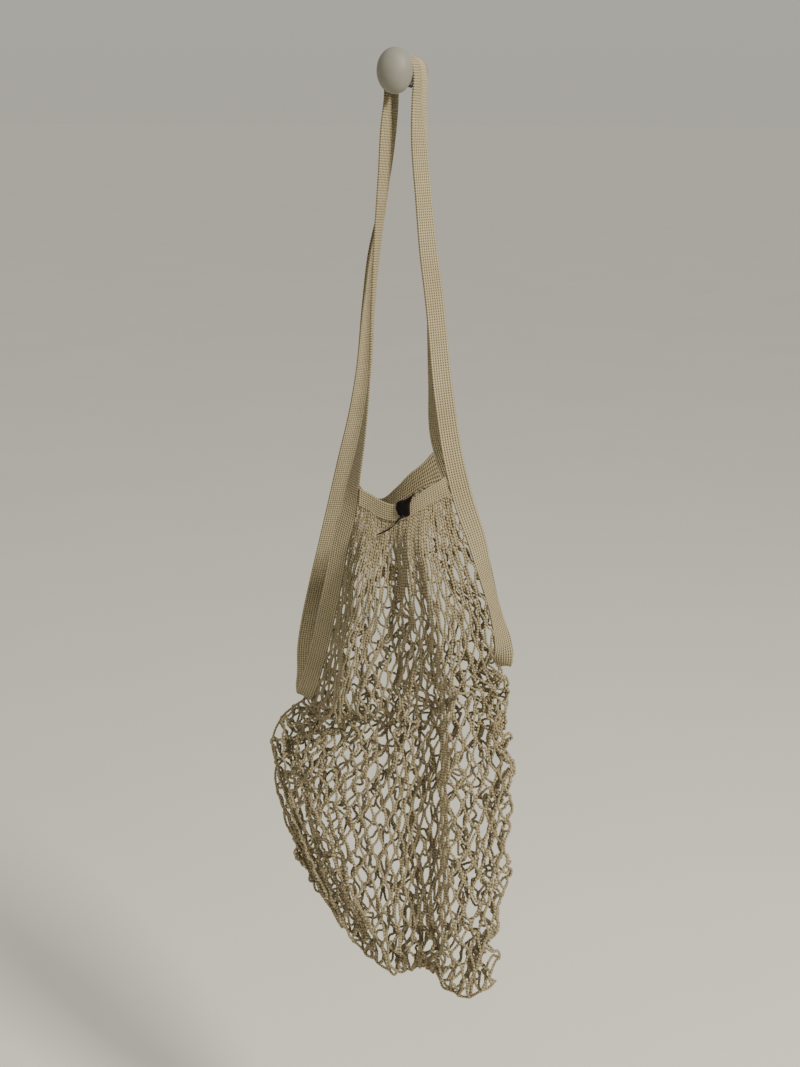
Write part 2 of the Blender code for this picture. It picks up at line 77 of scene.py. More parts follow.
class Wire:  # a socket that does arithmetic by adding Math nodes
    def __init__(self, tree, socket):
        self.tree = tree
        self.socket = socket

    def join(self, operation, other, swap=False):
        node = self.tree.nodes.new("ShaderNodeMath")
        node.operation = operation
        for index, value in enumerate((other, self) if swap else (self, other)):
            plug(self.tree, node.inputs[index], value)
        return Wire(self.tree, node.outputs[0])

    def __add__(self, other): return self.join("ADD", other)
    def __radd__(self, other): return self.join("ADD", other, True)
    def __sub__(self, other): return self.join("SUBTRACT", other)
    def __rsub__(self, other): return self.join("SUBTRACT", other, True)
    def __mul__(self, other): return self.join("MULTIPLY", other)
    def __rmul__(self, other): return self.join("MULTIPLY", other, True)
    def __truediv__(self, other): return self.join("DIVIDE", other)
    def __pow__(self, other): return self.join("POWER", other)


def plug(tree, socket, value):
    if isinstance(value, Wire):
        tree.links.new(value.socket, socket)
    elif value is not None:
        socket.default_value = value


def addNode(tree, kind, settings=None, **inputs):  # inputs by their names, or by n and their number
    node = tree.nodes.new(kind)
    for name, value in (settings or {}).items():
        setattr(node, name, value)
    for name, value in inputs.items():
        key = int(name[1:]) if name[0] == "n" and name[1:].isdigit() else name.replace("_", " ")
        plug(tree, node.inputs[key], value)
    return node


class Shader:
    def __init__(self, name):
        self.material = bpy.data.materials.new(name)
        self.material.use_nodes = True
        self.tree = self.material.node_tree
        self.surface = self.tree.nodes["Principled BSDF"]

    def node(self, kind, settings=None, output=0, **inputs):
        return Wire(self.tree, addNode(self.tree, kind, settings, **inputs).outputs[output])

    def attribute(self, name):
        return self.node("ShaderNodeAttribute", {"attribute_name": name}, output="Fac")

    def objectPlace(self):
        return self.node("ShaderNodeTexCoord", output="Object")

    def noise(self, place, scale, detail=2.0, roughness=0.5):
        settings = {"Vector": place, "Scale": scale, "Detail": detail, "Roughness": roughness}
        return self.node("ShaderNodeTexNoise", output="Fac", **settings)

    def sine(self, phase):
        return self.node("ShaderNodeMath", {"operation": "SINE"}, n0=phase)

    def wave(self, phase):  # a sine from 0 to 1
        return self.sine(phase) * 0.5 + 0.5

    def blend(self, share, first, second):
        return self.node("ShaderNodeMix", {"data_type": "RGBA"}, output=2, n0=share, n6=first, n7=second)

    def clamp(self, value):
        return self.node("ShaderNodeClamp", Value=value)

    def bump(self, height, depth, strength=1.0):
        return self.node("ShaderNodeBump", output="Normal", Strength=strength, Distance=depth, Height=height)

    def set(self, **values):
        for name, value in values.items():
            plug(self.tree, self.surface.inputs[name.replace("_", " ")], value)
        return self.material


def rgb(red, green, blue):
    return (red, green, blue, 1.0)


# Curves and surfaces, in millimetres, as the solids have them

def unit(vectors):
    return vectors / np.maximum(np.linalg.norm(vectors, axis=-1, keepdims=True), 1e-9)


def places(rows, heightColumn=1, wallColumn=2):  # table rows to points, with the other columns behind
    table = np.array(rows, float)
    others = [table[:, k] for k in range(3, table.shape[1])]
    return np.column_stack([table[:, 0], -table[:, wallColumn], table[:, heightColumn]] + others)


def smoothCurve(points):
    points = np.array(points, float)
    steps = np.linalg.norm(np.diff(points[:, :3], axis=0), axis=1)
    knots = np.concatenate([[0.0], np.cumsum(steps)])
    slopes = np.gradient(points, knots, axis=0)

    def curve(distance):
        where = np.clip(np.atleast_1d(np.asarray(distance, float)), knots[0], knots[-1])
        span = np.clip(np.searchsorted(knots, where, side="right") - 1, 0, len(knots) - 2)
        length = (knots[span + 1] - knots[span])[:, None]
        u = (where - knots[span])[:, None] / length
        return (
            (2 * u**3 - 3 * u**2 + 1) * points[span]
            + (u**3 - 2 * u**2 + u) * length * slopes[span]
            + (3 * u**2 - 2 * u**3) * points[span + 1]
            + (u**3 - u**2) * length * slopes[span + 1]
        )

    return curve, knots


tape = {  # both handles and both mouth bands are knitted of this tape
    "width": 17.0,
    "thickness": 2.0,
    "ribs": 8,
    "ribDepth": 0.42,
    "coursePitch": 2.1,
    "courseDepth": 0.34,
    "step": 0.95,
    "pointsPerRib": 3,
    "endGap": 0.3,
    "gatherLength": 11.0,
    "gatherShare": 0.55,
}

neckLoop = {"radius": 11.6, "step": 22.5}

# side, height, off the wall, turn and dip of the tape's width, which is turned more edge-on than in the solids
# in the last rows at the right
frontHandle = {
    "name": "handleFrontTape",
    "node": "handle_front",
    "neck": (29.5, -90.0),
    "left": [
        (-95, -547, 31, 0, 25), (-86, -532, 42, -4, 12), (-76.5, -504.5, 45, -8, 0), (-64.5, -462.5, 51, -9, 0),
        (-54, -422, 56, -11, 0), (-45.5, -384, 60, -14, 0), (-37.5, -355, 60, -24, 0), (-33.5, -330, 58, -40, 0),
        (-27.5, -295, 55, -56, 0), (-22.5, -245, 49, -72, 0), (-21.5, -180, 41, -80, 0), (-18.5, -125, 36, -92, 0),
        (-14.5, -80, 33, -104, 0), (-12.4, -42, 31, -106, 0), (-11.8, -21, 29.8, -93, 0),
    ],
    "right": [
        (12, -23, 29.8, -97, 0), (14.6, -54, 31.5, -117, 0), (19.5, -99, 34, -122, 0), (24.5, -138, 37, -130, 0),
        (31, -177, 41, -133, 0), (42, -258, 47, -144, 0), (52, -307, 52, -152, 0), (62, -340, 56, -157, 0),
        (74, -373, 57, -138, 0), (82, -409, 52, -110, 0), (89, -440, 46, -108, 0), (94, -474, 38, -132, 8),
        (92.5, -495, 27, -180, 20),
    ],
}
backHandle = {
    "name": "handleBackTape",
    "node": "handle_back",
    "neck": (11.5, 90.0),
    "left": [
        (-95, -547, 31, 0, 25), (-97, -532, 20, 8, 12), (-97.5, -506, 16, 20, 0), (-94, -479, 13, 27, 0),
        (-85.5, -440, 12, 32, 0), (-76, -401, 12, 40, 0), (-67, -363, 12, 47, 0), (-57.5, -325, 14, 52, 0),
        (-46, -279, 16, 60, 0), (-40, -245, 17, 68, 0), (-35, -183, 18, 84, 0), (-30.5, -143, 18, 90, 0),
        (-23, -108, 16, 92, 0), (-16, -66, 13.5, 91, 0), (-12.2, -24, 12, 90, 0),
    ],
    "right": [
        (12.2, -24, 12, 91, 0), (14.3, -68, 13.5, 96, 0), (16.5, -120, 15, 105, 0), (20, -190, 16, 122, 0),
        (24, -252, 16, 140, 0), (28, -300, 15, 158, 0), (40, -335, 13, 170, 0), (56, -368, 12, 172, 0),
        (70, -408, 14, 148, 0), (82, -446, 16, 132, 0), (90, -476, 17, 150, 8), (92.5, -495, 27, 180, 20),
    ],
}

# side, upper edge, lower edge, off the wall
frontBand = {
    "name": "mouthBandFrontTape",
    "node": "mouth_band_front",
    "rows": [
        (-17, -339, -354, 65), (-7, -343, -358.5, 67), (3, -345, -359.5, 69), (13, -343.5, -358, 70),
        (23, -337.5, -352, 69), (33, -329.5, -345, 66), (42, -324, -340, 62),
    ],
    "left": (-335.0, -350.0),
    "right": (-320.0, -336.0),
}
backBand = {
    "name": "mouthBandBackTape",
    "node": "mouth_band_back",
    "rows": [
        (-41, -353, -370, 11), (-27, -358.5, -375.5, 10), (-12, -347, -364, 10), (0, -334, -356, 10),
        (12, -323.5, -347, 11),
    ],
    "left": (-336.0, -353.0),
    "right": (-312.0, -339.0),
}


def buildHandlePath(handle, other):
    offWall, turn = handle["neck"]
    angles = np.radians(np.arange(180.0, -1.0, -neckLoop["step"]))
    loop = [(neckLoop["radius"] * math.cos(a), neckLoop["radius"] * math.sin(a), offWall, turn, 0) for a in angles]
    rows = [other["left"][1]] + handle["left"] + loop + handle["right"] + [other["right"][-2]]
    curve, knots = smoothCurve(places(rows))
    return {"curve": curve, "left": knots[1], "right": knots[-2]}


def tapeFrame(path, distance):
    rows = path["curve"](distance)
    tangent = unit(path["curve"](distance + 1.0)[:, :3] - path["curve"](distance - 1.0)[:, :3])
    turn, dip = np.radians(rows[:, 3]), np.radians(rows[:, 4])
    aim = np.column_stack([np.cos(turn) * np.cos(dip), np.sin(turn) * np.cos(dip), -np.sin(dip)])
    across = unit(aim - tangent * np.sum(aim * tangent, axis=1, keepdims=True))
    return rows[:, :3], tangent, across, np.cross(tangent, across)


def netEdge(path, distance, extra):
    centre, tangent, across, face = tapeFrame(path, distance)
    return centre + across * (tape["width"] / 2 + extra)


def heightOnLeg(path, leg, height):
    middle = (path["left"] + path["right"]) / 2
    ends = (path["left"], middle) if leg == "left" else (middle, path["right"])
    distances = np.linspace(ends[0], ends[1], 1200)
    heights = netEdge(path, distances, 0.0)[:, 2]
    order = slice(None) if leg == "left" else slice(None, None, -1)
    return float(np.interp(height, heights[order], distances[order]))


def bandEdges(path, band, gap):
    edges = []
    for k in (0, 1):
        left = heightOnLeg(path, "left", band["left"][k])
        right = heightOnLeg(path, "right", band["right"][k])
        inner = places(band["rows"], 1 + k, 3)[:, :3]
        ends = [netEdge(path, np.array([end]), gap) for end in (left, right)]
        edges.append(smoothCurve(np.vstack([ends[0], inner, ends[1]])))
    return edges


frontPath = buildHandlePath(frontHandle, backHandle)
backPath = buildHandlePath(backHandle, frontHandle)


# Meshes

def storeValue(item, name, values):
    attribute = item.data.attributes.new(name, "FLOAT", "POINT")
    attribute.data.foreach_set("value", np.asarray(values, np.float32))


def ringFaces(steps, around):  # quads between one ring of points and the next, and a cap at each end
    index = np.arange(steps * around).reshape(steps, around)
    after = np.roll(index, -1, axis=1)
    quads = np.stack([index[:-1], after[:-1], after[1:], index[1:]], axis=-1).reshape(-1, 4)
    return quads.tolist() + [index[0][::-1].tolist(), index[-1].tolist()]


def closedMesh(name, rings, values=None):  # rings: steps x around x 3, in millimetres
    mesh = bmesh.new()
    verts = [mesh.verts.new(point) for point in (rings.reshape(-1, 3) * mm).tolist()]
    for face in ringFaces(*rings.shape[:2]):
        mesh.faces.new([verts[k] for k in face])
    bmesh.ops.recalc_face_normals(mesh, faces=mesh.faces[:])
    data = bpy.data.meshes.new(name)
    mesh.to_mesh(data)
    mesh.free()
    data.shade_smooth()
    item = addObject(name, data)
    for key, numbers in (values or {}).items():
        storeValue(item, key, numbers)
    return item


def standFor(item, node):
    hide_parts(node)
    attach(item, "root")


# Knitted tape

def makeTape(name, distance, frontLine, acrossLine, faceLine, widths, material, shapes):
    # A closed ring of points for each step: ribs run lengthwise, and courses of stitches across them.
    ribs, perRib = shapes["ribs"], shapes["pointsPerRib"]
    count = ribs * perRib + 1
    share = np.linspace(-0.5, 0.5, count)
    ribPhase = (share + 0.5) * ribs
    rib = np.abs(np.sin(math.pi * ribPhase))
    edge = np.clip((0.5 - np.abs(share)) / 0.06, 0, 1) ** 0.5
    coursePhase = distance[:, None] / shapes["coursePitch"] + 0.5 * (np.floor(ribPhase)[None, :] % 2)
    course = 0.5 + 0.5 * np.cos(2 * math.pi * coursePhase)
    half = shapes["thickness"] / 2
    lift = half * (0.55 + 0.45 * edge)[None, :] - shapes["ribDepth"] * (1 - rib)[None, :] * edge[None, :]
    lift = lift - shapes["courseDepth"] * course * (0.35 + 0.65 * rib)[None, :] * edge[None, :]
    side = share[None, :, None] * widths[:, None, None] * acrossLine[:, None, :]
    centre = frontLine[:, None, :] + side
    front = centre + lift[:, :, None] * faceLine[:, None, :]
    behind = centre - lift[:, :, None] * faceLine[:, None, :]
    rings = np.concatenate([front, behind[:, ::-1]], axis=1)
    shareRing = np.concatenate([share, share[::-1]])
    steps, around = rings.shape[:2]
    values = {"acrossTape": np.tile(shareRing + 0.5, steps), "alongTape": np.repeat(distance, around) * mm}
    item = closedMesh(name, rings, values)
    item.data.materials.append(material)
    return item


def cottonTapeMaterial(name, tint):
    shader = Shader(name)
    place = shader.objectPlace()
    across = shader.attribute("acrossTape")
    along = shader.attribute("alongTape")
    wander = shader.noise(place, 240.0, 2.0, 0.5) * 0.9
    rib = shader.wave(across * (2 * math.pi * tape["ribs"]) - math.pi / 2 + wander)
    course = shader.wave(along * (2 * math.pi / (tape["coursePitch"] * mm)) + wander * 1.5)
    fuzz = shader.noise(place, 900.0, 3.0, 0.6)
    patches = shader.noise(place, 35.0, 3.0, 0.55)
    # Painted shade: the holes between the stitches, down in the grooves between the ribs, are painted near black
    hole = shader.clamp((1 - rib) * course * 1.7 - 0.28)
    # Painted shade: the grooves between the ribs are painted darker, mixed with random fuzz of the yarn's own tone
    paintedGrooveShadeAndFuzz = (1 - rib) ** 2.0 * 0.35 + fuzz * 0.25
    base = shader.blend(patches, rgb(*tint["dark"]), rgb(*tint["light"]))
    ribbed = shader.blend(paintedGrooveShadeAndFuzz, base, rgb(*tint["paintedGrooveShadeAndFuzz"]))
    shaded = shader.blend(hole, ribbed, rgb(*tint["hole"]))
    height = rib * 0.5 + (1 - course) * 0.35 + fuzz * 0.35
    return shader.set(
        Base_Color=shaded, Roughness=0.9, Sheen_Weight=0.08, Sheen_Roughness=0.6,
        Normal=shader.bump(height, 0.0008, 0.9),
    )


# Random patches of the cotton's own tone; the groove and stitch hole colours are painted shade
cottonTint = {
    "dark": (0.32, 0.265, 0.155), "light": (0.47, 0.405, 0.26),
    "paintedGrooveShadeAndFuzz": (0.22, 0.165, 0.085), "hole": (0.07, 0.048, 0.022),
}
tapeMaterial = cottonTapeMaterial("knittedTapeCotton", cottonTint)


def makeHandle(handle, path):
    start, end = path["left"] + tape["endGap"], path["right"] - tape["endGap"]
    distance = np.linspace(start, end, int((end - start) / tape["step"]) + 1)
    centre, tangent, across, face = tapeFrame(path, distance)
    ends = np.minimum(distance - start, end - distance)
    gathered = np.sqrt(np.clip(ends / tape["gatherLength"], 0, 1))
    widths = tape["width"] * (tape["gatherShare"] + (1 - tape["gatherShare"]) * gathered)
    item = makeTape(handle["name"], distance, centre, across, face, widths, tapeMaterial, tape)
    standFor(item, handle["node"])
    flat = (tape["width"] * mm, (end - start) * mm)
    print(handle["name"], "length", round(end - start), "mm")


def makeBand(band, path):
    (upper, upperKnots), (lower, lowerKnots) = bandEdges(path, band, 1.3)
    length = upperKnots[-1]
    share = np.linspace(0, 1, int(length / tape["step"]) + 1)
    top, bottom = upper(share * upperKnots[-1]), lower(share * lowerKnots[-1])
    middle = (top + bottom) / 2
    across = unit(bottom - top)
    widths = np.linalg.norm(bottom - top, axis=1)
    face = unit(np.cross(np.gradient(middle, axis=0), bottom - top))
    item = makeTape(band["name"], share * length, middle, across, face, widths, tapeMaterial, tape)
    standFor(item, band["node"])
    flat = (tape["width"] * mm, length * mm)
    print(band["name"], "length", round(length), "mm")


makeHandle(frontHandle, frontPath)
makeHandle(backHandle, backPath)
makeBand(frontBand, frontPath)
makeBand(backBand, backPath)


# Net: where its nodes lie, then how the yarn hangs between them

net = {
    "halfColumns": 48,
    "halfRows": 32,
    "slitRows": (14, 11),
    "slitRowsMiddle": 14.6,
    "crowding": (1.4, 1.1),
    "crowdReach": 0.09,
    "slitShare": 7 / 17,
    "barLength": 15.4,
    "segments": 6,
    "yarnRadius": 1.15,
    "joint": 2.7,
    "backSpare": 0.20,
    "frontBow": 1.0,
    "backBow": 3.4,
    "gap": 0.6,
    "rooted": 2.4,
    "frontCurl": 0.3,
    "backCurl": 2.1,
    "asideShare": 0.92,
    "nearestWall": -1.7,
    "curlsBelow": -400.0,
    "curlsFade": 110.0,
    "calmColumns": 5.0,
    "wallClearance": 4.0,
    "frontBulge": 20.0,
    "backBulge": -36.0,
    "crownAcross": 0.7,
    "crownDown": 0.4,
    "foldFade": 0.7,
    "flatBorder": 0.08,
    "seed": 11,
    "frontScatter": 2.0,
    "backScatter": 5.5,
    "frontLoose": 0.5,
    "backLoose": 4.0,
    "sweeps": 700,
    "gravity": 0.03,
    "targetPull": 0.03,
    "edgePull": 0.10,
    "bend": 0.25,
    "nodeBend": 0.15,
}
gathers = {
    "spacing": 5.0, "rows": (0, 1, 3, 9, 15), "depths": (0.3, 0.9, 1.5, 1.3, 0.3),
    "deepColumns": (22, 42), "deepest": 2.0, "deepestRow": 4,
}
# side, height, off the wall
leftSide = [
    (-102, -558, 31), (-116, -570, 32), (-123.5, -598, 36), (-121.5, -640, 40), (-111, -672, 44), (-97, -704, 48),
]
rightSide = [
    (94, -511, 30), (99, -534, 36), (105, -582, 44), (107.5, -627, 52), (108.5, -672, 64), (107, -716, 78),
    (107, -745, 88), (104, -770, 95),
]
bottomFold = [
    (-74, -741, 54), (-50, -761, 59), (-26, -779, 65), (-2, -791, 72), (28, -785, 80), (61, -781, 90), (84, -784, 96),
]
# share across at the top and bottom, half width, push off the wall, from and to which share of the rows
frontFolds = [
    (0.22, 0.24, 0.07, 7, 0.05, 0.80), (0.40, 0.60, 0.05, -20, 0.02, 0.62), (0.54, 0.66, 0.05, 7, 0.10, 0.70),
    (0.66, 0.74, 0.045, -18, 0.12, 0.85), (0.78, 0.84, 0.06, 10, 0.10, 0.95),
]
backFolds = [(0.30, 0.34, 0.09, 7, 0.10, 0.80), (0.66, 0.62, 0.08, 9, 0.15, 0.90)]
leftSwell = {"side": -8.0, "row": 0.43, "halfRows": 0.08, "halfWidth": 0.08}
# creases: the side of the middle at each height, half width, push off the wall, from and to which height, fades
frontCreases = [
    {
        "line": [(-350, 2), (-430, 14), (-500, 26), (-560, 32), (-790, 36)],
        "half": 20, "push": -15, "ends": (-345, -830), "fade": (170, 40),
    },
    {
        "line": [(-440, -30), (-560, -24), (-790, -30)],
        "half": 26, "push": 5, "ends": (-380, -780), "fade": (90, 60),
    },
    {
        "line": [(-350, 36), (-500, 58), (-790, 72)],
        "half": 13, "push": 10, "ends": (-350, -800), "fade": (60, 60),
    },
    {
        "line": [(-350, -14), (-500, -40), (-640, -76)],
        "half": 9, "push": 6, "ends": (-350, -640), "fade": (60, 80),
    },
]
backCreases = [
    {"line": [(-400, 20), (-790, 45)], "half": 16, "push": 9, "ends": (-370, -800), "fade": (120, 60)},
    {"line": [(-400, -30), (-790, -25)], "half": 12, "push": 7, "ends": (-370, -780), "fade": (120, 60)},
]
# where some of the columns of meshes lie at each height, and between them evenly
frontColumns = {
    "numbers": [0, 9, 16, 23, 37, 43, 48],
    "sides": {
        -450: [-60, -36, -14, 8, 54, 70, 84],
        -518: [-78, -50, -26, 3, 48, 74, 98],
        -560: [-110, -60, -32, 2, 49, 77, 104],
        -620: [-122, -78, -42, 1, 49, 80, 108],
        -700: [-98, -74, -44, 0, 50, 80, 108],
        -780: [-60, -40, -20, 6, 54, 80, 104],
    },
    "start": (-380, -450),
}
backColumns = {
    "numbers": [0, 11, 22, 34, 48],
    "sides": {
        -450: [-78, -54, -14, 27, 62],
        -518: [-88, -62, -12, 42, 82],
        -560: [-112, -72, -18, 44, 100],
        -620: [-122, -84, -20, 46, 108],
        -700: [-98, -76, -10, 48, 108],
        -780: [-60, -40, 4, 52, 104],
    },
    "start": (-380, -450),
}
# places where the yarn is slack and curls: side, height, reach, share of spare yarn
slackPlaces = [
    (90, -505, 28, 0.28), (-106, -556, 24, 0.18), (-20, -775, 60, 0.14), (80, -770, 50, 0.16),
    (96, -640, 60, 0.04),
]


def panelBorders(path, band):
    edges = bandEdges(path, band, 1.3)

    def sideBorder(leg, end, rows):
        corner = heightOnLeg(path, leg, end - net["gap"])
        tip = path[leg]
        fold, knots = smoothCurve(np.vstack([netEdge(path, np.array([tip]), net["gap"]), places(rows)]))
        slit = net["slitShare"]

        def border(share):
            onTape = netEdge(path, corner + (tip - corner) * np.clip(share / slit, 0, 1), net["gap"])
            onFold = fold(knots[-1] * np.clip((share - slit) / (1 - slit), 0, 1))
            return np.where((share < slit)[:, None], onTape, onFold)

        return border

    left = sideBorder("left", band["left"][1], leftSide)
    right = sideBorder("right", band["right"][1], rightSide)
    lower, lowerKnots = edges[1]
    bottom, bottomKnots = smoothCurve(places([leftSide[-1]] + bottomFold + [rightSide[-1]]))

    def topBorder(share):
        drop = np.array([0.0, 0.0, net["gap"]])
        below = lower(share * lowerKnots[-1]) - drop
        start, end = lower(np.array([0.0, lowerKnots[-1]])) - drop
        u = share[:, None]
        return below + (left(np.zeros(1)) - start) * (1 - u) + (right(np.zeros(1)) - end) * u

    return {"top": topBorder, "left": left, "right": right, "bottom": lambda s: bottom(s * bottomKnots[-1])}


def foldPush(folds, across, row):
    push = np.zeros_like(across)
    for top, low, half, depth, start, end in folds:
        middle = top + (low - top) * row
        run = np.clip((row - start) / (end - start), 0, 1)
        push += depth * np.sin(math.pi * run) ** net["foldFade"] * np.exp(-(((across - middle) / half) ** 2))
    return push


def creaseShare(crease, points):  # how much of a crease there is at each point
    heights, sides = zip(*crease["line"][::-1])
    middle = np.interp(points[:, 2], heights, sides)
    (top, bottom), (topFade, bottomFade) = crease["ends"], crease["fade"]
    fade = np.clip((top - points[:, 2]) / topFade, 0, 1) * np.clip((points[:, 2] - bottom) / bottomFade, 0, 1)
    return fade * np.exp(-(((points[:, 0] - middle) / crease["half"]) ** 2))


def rowShare(r, across):
    # The slits beside the two handles are not as many rows long, and below them the rows lie closer at first.
    share = net["slitShare"]
    slit = np.interp(across, (0, 0.5, 1), (net["slitRows"][0], net["slitRowsMiddle"], net["slitRows"][1]))
    reach = [np.exp(-((place / net["crowdReach"]) ** 2)) for place in (across, 1 - across)]
    power = 1 + sum((crowding - 1) * near for crowding, near in zip(net["crowding"], reach))
    down = np.maximum(r - slit, 0) / (net["halfRows"] - slit)
    return np.where(r <= slit, r / slit * share, share + down**power * (1 - share))


def columnNumbers(columns, points):  # the number of the column that each point of a row lies on
    heights = sorted(columns["sides"])
    levels = np.array([columns["sides"][height] for height in heights], float)
    sides = np.column_stack([np.interp(points[:, 2], heights, levels[:, k]) for k in range(levels.shape[1])])
    numbers = columns["numbers"]
    last = len(numbers) - 1
    found = []
    for x, row in zip(points[:, 0], sides):
        k = int(np.clip(np.searchsorted(row, x) - 1, 0, last - 1))
        found.append(numbers[k] + (x - row[k]) / (row[k + 1] - row[k]) * (numbers[k + 1] - numbers[k]))
    return np.array(found)


def gatherColumns(shape, columns, rows, last):
    # For each row, the shares across at which its columns lie.
    fine = np.linspace(0, 1, 161)
    top, full = columns["start"]
    table = []
    for row in range(rows + 1):
        points = panelPoints(*shape, fine, rowShare(row, fine))
        wanted = columnNumbers(columns, points)
        wanted = (wanted - wanted[0]) / (wanted[-1] - wanted[0])
        share = np.clip((top - points[:, 2]) / (top - full), 0, 1)
        mixed = np.maximum.accumulate(fine * (1 - share) + wanted * share)
        mixed = (mixed - mixed[0]) / (mixed[-1] - mixed[0]) + fine * 1e-6
        table.append(np.interp(np.arange(last + 1) / last, mixed, fine))
    return np.array(table)


def panelPoints(borders, bulge, folds, swell, across, row):
    u, v = across[:, None], row[:, None]
    zero, one = np.zeros(1), np.ones(1)
    left, right = borders["left"], borders["right"]
    corners = (1 - v) * ((1 - u) * left(zero) + u * right(zero)) + v * ((1 - u) * left(one) + u * right(one))
    points = (1 - u) * left(row) + u * right(row) - corners
    points = points + (1 - v) * borders["top"](across) + v * borders["bottom"](across)
    crown = np.clip(np.sin(math.pi * across), 0, 1) ** net["crownAcross"]
    crown = crown * np.clip(np.sin(math.pi * row), 0, 1) ** net["crownDown"]
    inside = np.clip(np.minimum(across, 1 - across) / net["flatBorder"], 0, 1)
    points[:, 1] -= bulge * crown + foldPush(folds, across, row) * inside
    if swell:
        level = np.exp(-(((row - swell["row"]) / swell["halfRows"]) ** 2))
        sway = np.sin(math.pi * np.clip(across / (2 * swell["halfWidth"]), 0, 1))
        points[:, 0] += swell["side"] * level * sway
    points[:, 1] = np.minimum(points[:, 1], -net["wallClearance"])
    return points


def pleats(keys):  # small gathers off the bands, which fade out lower down
    a, r = np.array(keys, float).T
    deep = np.interp(r, gathers["rows"], gathers["depths"])
    first, last = gathers["deepColumns"]
    deeper = np.maximum(deep, gathers["deepest"] * np.minimum(1, r / gathers["deepestRow"]))
    deep = np.where((a > first) & (a < last), deeper, deep)
    return deep * np.sin(2 * math.pi * a / gathers["spacing"] + 1.1 * np.sin(r * 0.5) + 1.7 * np.sin(a * 0.31))


class Lattice:  # the net's nodes and the yarn particles between them
    def __init__(self):
        self.last, self.rows = net["halfColumns"], net["halfRows"]
        self.slits = dict(zip((0, self.last), net["slitRows"]))
        self.index = {}
        self.targets = []
        self.kinds = []
        borders = {"front": panelBorders(frontPath, frontBand), "back": panelBorders(backPath, backBand)}
        shapes = {
            "front": (net["frontBulge"], frontFolds, None, frontCreases, frontColumns, net["frontScatter"]),
            "back": (net["backBulge"], backFolds, leftSwell, backCreases, backColumns, net["backScatter"]),
        }
        self.scatter = []
        self.loose = []
        for panel in ("front", "back"):
            bulge, folds, swell, creases, columns, scatter = shapes[panel]
            shape = (borders[panel], bulge, folds, swell)
            gathered = gatherColumns(shape, columns, self.rows, self.last)
            keys = [(a, r) for r in range(self.rows + 1) for a in range(self.last + 1) if (a + r) % 2 == 0]
            across = np.array([gathered[r, a] for a, r in keys])
            rows = rowShare(np.array([r for a, r in keys], float), across)
            points = panelPoints(*shape, across, rows)
            for crease in creases:
                points[:, 1] -= crease["push"] * creaseShare(crease, points)
            points[:, 1] += pleats(keys)
            for (a, r), point in zip(keys, points):
                key = self.key(panel, a, r)
                if key not in self.index:
                    self.index[key] = len(self.targets)
                    self.targets.append(point)
                    fromTape = min(a, self.last - a) if r <= net["slitRowsMiddle"] else self.last
                    calm = min(1.0, fromTape / net["calmColumns"])
                    self.scatter.append(scatter * calm)
                    self.loose.append(net[panel + "Loose"] * calm)
                    pinned = r == 0 or r <= self.slits.get(a, 0)
                    self.kinds.append(2 if pinned else 1 if key[0] in ("side", "bottom") else 0)
        self.targets = np.array(self.targets)
        self.kinds = np.array(self.kinds)
        self.scatter = np.array(self.scatter)[:, None]
        self.loose = np.array(self.loose)[:, None]

    def key(self, panel, a, r):
        if r == self.rows:
            return ("bottom", a, r)
        if r > self.slits.get(a, self.rows):
            return ("side", a, r)
        return (panel, a, r)

    def wales(self):  # every yarn as the list of nodes that it runs through, from the mouth to the bottom
        chains = []
        for panel in ("front", "back"):
            for w in range(self.last):
                nodes = [self.index[self.key(panel, w + ((w + r) % 2), r)] for r in range(self.rows + 1)]
                chains.append((panel, w, nodes))
        return chains


